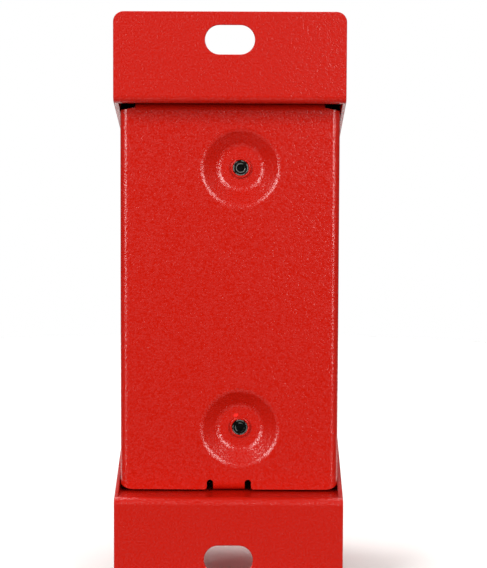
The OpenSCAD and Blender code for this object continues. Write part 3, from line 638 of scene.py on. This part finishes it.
def newTree(name, sizes):
    # An empty Geometry Nodes tree with one named input for each size
    tree = bpy.data.node_groups.new(name, "GeometryNodeTree")
    face = tree.interface
    face.new_socket("Geometry", in_out="INPUT", socket_type="NodeSocketGeometry")
    for label, value in sizes.items():
        kind = "NodeSocketFloat"
        if isinstance(value, tuple):
            kind = "NodeSocketVector"
        if isinstance(value, bpy.types.Material):
            kind = "NodeSocketMaterial"
        face.new_socket(label, in_out="INPUT", socket_type=kind).default_value = value
    face.new_socket("Geometry", in_out="OUTPUT", socket_type="NodeSocketGeometry")
    return tree, addNode(tree, "NodeGroupInput").outputs


def raised(tree, mesh, height):
    # A mesh moved along its own Z by a height
    shift = addNode(tree, "ShaderNodeCombineXYZ", {"Z": height})
    moved = addNode(
        tree, "GeometryNodeTransform", {"Geometry": mesh, "Translation": shift.outputs["Vector"]}
    )
    return moved.outputs["Geometry"]


fastenerLook = {
    "taper": 0.86, "headStart": 0.25, "nutStart": 0.36, "headSides": 28, "headSteps": 5,
    "shankSides": 20, "shankOverlap": 0.1, "nutSides": 48, "nutSteps": 8, "boreSides": 36,
    "bladeReach": 3.0, "threadSteps": 28, "spinSeed": 7,
}


def tapered(tree, mesh, height, start, bothEnds):
    # A disc whose side tapers from a share of its height out to its face, or to both faces
    where = addNode(tree, "GeometryNodeInputPosition").outputs["Position"]
    level = addNode(tree, "ShaderNodeSeparateXYZ", {"Vector": where}).outputs["Z"]
    if bothEnds:
        level = addNode(tree, "ShaderNodeMath", {0: level}, operation="ABSOLUTE").outputs["Value"]
    first = addNode(tree, "ShaderNodeMath", {0: height, 1: start}, operation="MULTIPLY")
    last = addNode(tree, "ShaderNodeMath", {0: height, 1: 0.5}, operation="MULTIPLY")
    width = addNode(
        tree,
        "ShaderNodeMapRange",
        {
            "Value": level,
            "From Min": first.outputs["Value"],
            "From Max": last.outputs["Value"],
            "To Min": 1.0,
            "To Max": fastenerLook["taper"],
        },
    ).outputs["Result"]
    across = addNode(tree, "ShaderNodeCombineXYZ", {"X": width, "Y": width, "Z": 1.0})
    place = addNode(
        tree, "ShaderNodeVectorMath", {0: where, 1: across.outputs["Vector"]}, operation="MULTIPLY"
    )
    return addNode(
        tree, "GeometryNodeSetPosition", {"Geometry": mesh, "Position": place.outputs["Vector"]}
    ).outputs["Geometry"]


def placeAndFinish(tree, given, mesh):
    # One copy on each point, turned to its axis, each with its own spin, then made real
    placed = addNode(
        tree,
        "GeometryNodeInstanceOnPoints",
        {"Points": given["Geometry"], "Instance": mesh, "Rotation": given["Turn"]},
    )
    spin = addNode(
        tree,
        "FunctionNodeRandomValue",
        {"Seed": fastenerLook["spinSeed"], "Max": math.pi},
        data_type="FLOAT",
    )
    turn = addNode(tree, "ShaderNodeCombineXYZ", {"Z": spin.outputs["Value"]})
    spun = addNode(
        tree,
        "GeometryNodeRotateInstances",
        {"Instances": placed.outputs["Instances"], "Rotation": turn.outputs["Vector"]},
    )
    real = addNode(
        tree, "GeometryNodeRealizeInstances", {"Geometry": spun.outputs["Instances"]}
    )
    done = addNode(
        tree,
        "GeometryNodeSetMaterial",
        {"Geometry": real.outputs["Geometry"], "Material": given["Material"]},
    )
    addNode(tree, "NodeGroupOutput", {"Geometry": done.outputs["Geometry"]})
    return tree


def slottedScrewTree(material):
    # A cheese-head screw: crowned head with a straight slot, and a plain shank below the seat
    tree, given = newTree("slotted screws", {
        "Head Radius": 2.4 * mm, "Head Rise": 1.8 * mm, "Slot Width": 0.7 * mm,
        "Shank Radius": 1.2 * mm, "Shank Length": 5 * mm, "Turn": (0.0, 0.0, 0.0),
        "Material": material,
    })
    rise = given["Head Rise"]
    disc = addNode(
        tree,
        "GeometryNodeMeshCylinder",
        {
            "Radius": given["Head Radius"],
            "Depth": rise,
            "Vertices": fastenerLook["headSides"],
            "Side Segments": fastenerLook["headSteps"],
            "Fill Segments": 1,
        },
    ).outputs["Mesh"]
    head = tapered(tree, disc, rise, fastenerLook["headStart"], bothEnds=False)
    half = addNode(tree, "ShaderNodeMath", {0: rise, 1: 0.5}, operation="MULTIPLY")
    reach = addNode(
        tree,
        "ShaderNodeMath",
        {0: given["Head Radius"], 1: fastenerLook["bladeReach"]},
        operation="MULTIPLY",
    )
    slot = addNode(
        tree,
        "ShaderNodeCombineXYZ",
        {"X": reach.outputs["Value"], "Y": given["Slot Width"], "Z": rise},
    )
    blade = addNode(tree, "GeometryNodeMeshCube", {"Size": slot.outputs["Vector"]})
    cut = addNode(
        tree,
        "GeometryNodeMeshBoolean",
        {
            "Mesh 1": raised(tree, head, half.outputs["Value"]),
            "Mesh 2": raised(tree, blade.outputs["Mesh"], rise),
        },
        operation="DIFFERENCE",
    )
    shank = addNode(
        tree,
        "GeometryNodeMeshCylinder",
        {
            "Radius": given["Shank Radius"],
            "Depth": given["Shank Length"],
            "Vertices": fastenerLook["shankSides"],
        },
    )
    sunk = addNode(
        tree,
        "ShaderNodeMath",
        {0: given["Shank Length"], 1: -0.5, 2: fastenerLook["shankOverlap"] * mm},
        operation="MULTIPLY_ADD",
    )
    both = addNode(
        tree,
        "GeometryNodeJoinGeometry",
        {"Geometry": [
            cut.outputs["Mesh"],
            raised(tree, shank.outputs["Mesh"], sunk.outputs["Value"]),
        ]},
    )
    return placeAndFinish(tree, given, both.outputs["Geometry"])


def hexNutTree(material):
    # A chamfered hexagon nut that stands on its seat
    tree, given = newTree("hexagon nuts", {
        "Flats": 5.5 * mm, "Thick": 2.4 * mm, "Bore": 1.8 * mm, "Turn": (0.0, 0.0, 0.0),
        "Material": material,
    })
    corner = addNode(
        tree, "ShaderNodeMath", {0: given["Flats"], 1: 1 / math.sqrt(3)}, operation="MULTIPLY"
    ).outputs["Value"]
    half = addNode(tree, "ShaderNodeMath", {0: given["Thick"], 1: 0.5}, operation="MULTIPLY")
    double = addNode(tree, "ShaderNodeMath", {0: given["Thick"], 1: 2.0}, operation="MULTIPLY")
    block = addNode(
        tree,
        "GeometryNodeMeshCylinder",
        {"Radius": corner, "Depth": given["Thick"], "Vertices": 6},
    )
    disc = addNode(
        tree,
        "GeometryNodeMeshCylinder",
        {
            "Radius": corner,
            "Depth": given["Thick"],
            "Vertices": fastenerLook["nutSides"],
            "Side Segments": fastenerLook["nutSteps"],
        },
    ).outputs["Mesh"]
    chamfered = tapered(tree, disc, given["Thick"], fastenerLook["nutStart"], bothEnds=True)
    solid = addNode(
        tree,
        "GeometryNodeMeshBoolean",
        {"Mesh 2": [block.outputs["Mesh"], chamfered]},
        operation="INTERSECT",
    )
    bore = addNode(
        tree,
        "GeometryNodeMeshCylinder",
        {
            "Radius": given["Bore"],
            "Depth": double.outputs["Value"],
            "Vertices": fastenerLook["boreSides"],
        },
    )
    drilled = addNode(
        tree,
        "GeometryNodeMeshBoolean",
        {"Mesh 1": solid.outputs["Mesh"], "Mesh 2": bore.outputs["Mesh"]},
        operation="DIFFERENCE",
    )
    lifted = raised(tree, drilled.outputs["Mesh"], half.outputs["Value"])
    return placeAndFinish(tree, given, lifted)


def threadTree(material):
    # A screw thread: a diamond section swept along a helix, so its ridge is a true V
    tree, given = newTree("screw threads", {
        "Outer Radius": 1.75 * mm, "Pitch": 0.7 * mm, "Length": 10 * mm,
        "Turn": (0.0, 0.0, 0.0), "Material": material,
    })
    depth = addNode(
        tree, "ShaderNodeMath", {0: given["Pitch"], 1: 0.5}, operation="MULTIPLY"
    ).outputs["Value"]
    radius = addNode(
        tree, "ShaderNodeMath", {0: given["Outer Radius"], 1: depth}, operation="SUBTRACT"
    ).outputs["Value"]
    climb = addNode(
        tree, "ShaderNodeMath", {0: given["Length"], 1: given["Pitch"]}, operation="SUBTRACT"
    ).outputs["Value"]
    turns = addNode(tree, "ShaderNodeMath", {0: climb, 1: given["Pitch"]}, operation="DIVIDE")
    helix = addNode(
        tree,
        "GeometryNodeCurveSpiral",
        {
            "Rotations": turns.outputs["Value"],
            "Start Radius": radius,
            "End Radius": radius,
            "Height": climb,
            "Resolution": fastenerLook["threadSteps"],
        },
    )
    ridge = addNode(
        tree, "GeometryNodeCurvePrimitiveCircle", {"Radius": depth, "Resolution": 4}
    )
    swept = addNode(
        tree,
        "GeometryNodeCurveToMesh",
        {
            "Curve": helix.outputs["Curve"],
            "Profile Curve": ridge.outputs["Curve"],
            "Fill Caps": True,
        },
    )
    return placeAndFinish(tree, given, raised(tree, swept.outputs["Mesh"], depth))


trees = {
    "screw": slottedScrewTree(finishes["zinc_plate"]),
    "nut": hexNutTree(finishes["zinc_plate"]),
    "thread": threadTree(finishes["zinc_plate"]),
}


def solidsOf(node):
    # The box of each separate solid in a CAD node
    mesh = mergedMesh(node)
    left = set(mesh.verts)
    boxes = []
    while left:
        group = [left.pop()]
        for vert in group:
            for edge in vert.link_edges:
                other = edge.other_vert(vert)
                if other in left:
                    left.remove(other)
                    group.append(other)
        spots = [vert.co.copy() for vert in group]
        boxes.append((
            Vector([min(s[i] for s in spots) for i in range(3)]),
            Vector([max(s[i] for s in spots) for i in range(3)]),
        ))
    mesh.free()
    return sorted(boxes, key=lambda box: tuple(box[0]))


def grow(name, node, tree, points, sizes, replaces=True):
    # Runs a tree on a few points and keeps the result as a plain piece
    data = bpy.data.meshes.new(name)
    data.from_pydata(points, [], [])
    piece = newPiece(name, data)
    grower = piece.modifiers.new("grower", "NODES")
    grower.node_group = trees[tree]
    for socket in trees[tree].interface.items_tree:
        if socket.in_out == "INPUT" and socket.name in sizes:
            value = sizes[socket.name]
            grower[socket.identifier] = value if isinstance(value, tuple) else value * mm
        elif socket.in_out == "INPUT" and socket.name == "Material":
            grower[socket.identifier] = materialOf(node)
    settle(piece)
    shadeByAngle(piece.data, meshLook["grownSharp"])
    return finishPiece(piece, node, replaces)


towardRear = (math.radians(-90), 0.0, 0.0)
towardFloor = (math.radians(180), 0.0, 0.0)

# Slotted screws that stand with their heads to the rear: head, slot and shank sizes
rearScrews = {
    "board_screws": {"Head Radius": 2.8, "Head Rise": 2.0, "Slot Width": 0.8,
                     "Shank Radius": 1.5, "Shank Length": 6.0},
    "switch_screws": {"Head Radius": 2.4, "Head Rise": 1.8, "Slot Width": 0.7,
                      "Shank Radius": 1.2, "Shank Length": 5.0},
    "terminal_screws": {"Head Radius": 1.6, "Head Rise": 2.0, "Slot Width": 0.6,
                        "Shank Radius": 1.0, "Shank Length": 0.2},
    "cam_screw": {"Head Radius": 3.9, "Head Rise": 1.7, "Slot Width": 1.0,
                  "Shank Radius": 1.2, "Shank Length": 4.0},
}
for node, sizes in rearScrews.items():
    seats = [
        ((low.x + high.x) / 2, high.y - sizes["Head Rise"] * mm, (low.z + high.z) / 2)
        for low, high in solidsOf(node)
    ]
    grow(node + "_look", node, "screw", seats, dict(sizes, Turn=towardRear))

# The tamper switch's screws hang with their heads down
tamperScrews = {"Head Radius": 2.0, "Head Rise": 1.4, "Slot Width": 0.7,
                "Shank Radius": 1.0, "Shank Length": 10.8}
seats = [
    ((low.x + high.x) / 2, (low.y + high.y) / 2, low.z + tamperScrews["Head Rise"] * mm)
    for low, high in solidsOf("tamper_screws")
]
grow("tamper_screws_look", "tamper_screws", "screw", seats, dict(tamperScrews, Turn=towardFloor))

# Nuts that stand on a wall and face the rear: width across flats, thickness and bore
rearNuts = {
    "retainer_nuts": {"Flats": 5.5, "Thick": 2.4, "Bore": 1.75},
    "earth_nuts": {"Flats": 7.0, "Thick": 3.2, "Bore": 2.25},
    "lamp_nut": {"Flats": 16.0, "Thick": 3.0, "Bore": 6.25},
    "latch_nut": {"Flats": 17.0, "Thick": 3.0, "Bore": 6.25},
    "bezel_nut": {"Flats": 27.0, "Thick": 3.5, "Bore": 11.15},
}
for node, sizes in rearNuts.items():
    seats = [((low.x + high.x) / 2, low.y, (low.z + high.z) / 2) for low, high in solidsOf(node)]
    grow(node + "_look", node, "nut", seats, dict(sizes, Turn=towardRear))

# The gland's nut lies flat on the bottom wall
glandLocknut = {"Flats": 22.0, "Thick": 4.0, "Bore": 8.25, "Turn": (0.0, 0.0, 0.0)}
low, high = solidsOf("gland_locknut")[0]
seats = [((low.x + high.x) / 2, (low.y + high.y) / 2, low.z)]
grow("gland_locknut_look", "gland_locknut", "nut", seats, glandLocknut)
print("screws and nuts grown")

# How near a corner is to count as inside the threaded length, and as on the rod's surface
coreReach = {"along": 0.01, "across": 0.05}


def cored(axis, sizes, low, high):
    # Narrows a rod that lies along Y to the core of its thread, between two places on it
    def reshape(data):
        for vert in data.vertices:
            across = Vector((vert.co.x - axis[0], 0, vert.co.z - axis[2]))
            slack = coreReach["along"] * mm
            inside = low - slack <= vert.co.y <= high + slack
            if inside and across.length > (sizes["outer"] - coreReach["across"]) * mm:
                across.length = sizes["core"] * mm
                vert.co.x = axis[0] + across.x
                vert.co.z = axis[2] + across.z

    return reshape


coverScrew = {"outer": 1.75, "core": 1.4, "pitch": 0.7, "thread": 12.6, "edge": 0.2}
earthStud = {"outer": 2.0, "core": 1.65, "pitch": 0.7, "edge": 0.2}
earthStud["thread"] = (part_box("earth_stud")[1][1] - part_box("earth_stud")[0][1]) / mm
threadedRods = {node: coverScrew for node in screwFinish}
threadedRods["earth_stud"] = earthStud
for node, sizes in threadedRods.items():
    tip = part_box(node)[0][1]
    axis = middleOf(node)
    softened(node, sizes["edge"], cored(axis, sizes, tip, tip + sizes["thread"] * mm))
    grow(node + "_thread", node, "thread", [(axis[0], tip, axis[2])],
         {"Outer Radius": sizes["outer"], "Pitch": sizes["pitch"],
          "Length": sizes["thread"], "Turn": towardRear}, replaces=False)
print("threads grown")

for node in ("button_spring", "lamp_lens"):
    item = frame["nodes"][node]
    item.data.materials.clear()
    item.data.materials.append(materialOf(node))

stageLook = {
    "floorRadius": 0.42,
    "floorMiddle": (0, -0.415),
    "floorSides": 120,
    "background": "#ffffff",
    "above": 0.5,
    "level": 0.17,
    "below": 0.09,
    "belowFrom": -0.08,
}
turns = [math.radians(360 / stageLook["floorSides"] * i) for i in range(stageLook["floorSides"])]
rim = [
    (
        stageLook["floorMiddle"][0] + stageLook["floorRadius"] * math.cos(turn),
        stageLook["floorMiddle"][1] + stageLook["floorRadius"] * math.sin(turn),
        startBox[0].z,
    )
    for turn in turns
]
floorMesh = bpy.data.meshes.new("floor")
floorMesh.from_pydata(rim, [], [tuple(range(stageLook["floorSides"]))])
floor = newPiece("floor", floorMesh)
# Matt studio card: pale and even, with no shine
floorMesh.materials.append(surface("pale studio floor", {
    "colour": "#fcfbf9", "deep": "#f7f6f3", "roughness": (0.8, 0.9), "patchSize": 60,
    "grainSize": 3, "grainHeight": 0.01, "sockets": {"Specular IOR Level": 0.0},
}))

# A white background, and a lighting dome that is bright overhead and dim toward the horizon
world = bpy.data.worlds.new("studio")
bpy.context.scene.world = world
world.use_nodes = True
worldTree = world.node_tree
worldTree.nodes.clear()
direction = addNode(worldTree, "ShaderNodeTexCoord").outputs["Generated"]
height = addNode(worldTree, "ShaderNodeSeparateXYZ", {"Vector": direction}).outputs["Z"]
upper = addNode(
    worldTree,
    "ShaderNodeMapRange",
    {"Value": height, "To Min": stageLook["level"], "To Max": stageLook["above"]},
)
lower = addNode(
    worldTree,
    "ShaderNodeMapRange",
    {
        "Value": height,
        "From Min": stageLook["belowFrom"],
        "From Max": 0.0,
        "To Min": stageLook["below"],
        "To Max": upper.outputs["Result"],
    },
)
white = linear(stageLook["background"])
dome = addNode(
    worldTree, "ShaderNodeBackground", {"Color": white, "Strength": lower.outputs["Result"]}
)
plain = addNode(worldTree, "ShaderNodeBackground", {"Color": white})
seen = addNode(worldTree, "ShaderNodeLightPath").outputs["Is Camera Ray"]
mixed = addNode(
    worldTree,
    "ShaderNodeMixShader",
    {0: seen, 1: dome.outputs["Background"], 2: plain.outputs["Background"]},
)
addNode(worldTree, "ShaderNodeOutputWorld", {"Surface": mixed.outputs["Shader"]})
bpy.context.scene.view_settings.view_transform = "Standard"

# Places and sizes in metres, power in watts. The low card only shows in reflections.
softLights = {
    "left softbox": {"place": (0.62, 0.84, 0.3), "size": (0.36, 0.75), "power": 9.2},
    "right softbox": {"place": (-0.54, 0.88, 0.3), "size": (0.36, 0.75), "power": 8.3},
    "overhead softbox": {"place": (0.1, -0.45, 0.95), "size": (0.9, 0.9), "power": 7.5},
    "door softbox": {"place": (0.55, -0.8, 0.95), "size": (0.6, 0.6), "power": 5},
    "low card": {"place": (0, 0.5, -0.46), "size": (1.1, 0.4), "power": 0.7, "lights": False},
}
for name, look in softLights.items():
    data = bpy.data.lights.new(name, "AREA")
    data.shape = "RECTANGLE"
    data.size, data.size_y = look["size"]
    data.energy = look["power"]
    lamp = newPiece(name, data)
    lamp.location = look["place"]
    lamp.rotation_euler = (-Vector(look["place"])).to_track_quat("-Z", "Y").to_euler()
    lamp.visible_diffuse = look.get("lights", True)

# A long lens that looks slightly down: lens and sensor in millimetres, roll in degrees
cameraLook = {
    "lens": 140.9,
    "sensor": 36,
    "nearest": 0.01,
    "place": (-0.00727, 0.84989, 0.0885),
    "aim": (-0.00549, 0, 0.00726),
    "roll": 0.22,
}
cameraData = bpy.data.cameras.new("camera")
camera = newPiece("camera", cameraData)
bpy.context.scene.camera = camera
cameraData.lens = cameraLook["lens"]
cameraData.sensor_width = cameraLook["sensor"]
cameraData.clip_start = cameraLook["nearest"]
place = Vector(cameraLook["place"])
turn = (Vector(cameraLook["aim"]) - place).to_track_quat("-Z", "Y").to_matrix()
roll = Matrix.Rotation(math.radians(cameraLook["roll"]), 3, "Z")
camera.matrix_world = Matrix.Translation(place) @ (turn @ roll).to_4x4()
print("stage ready")
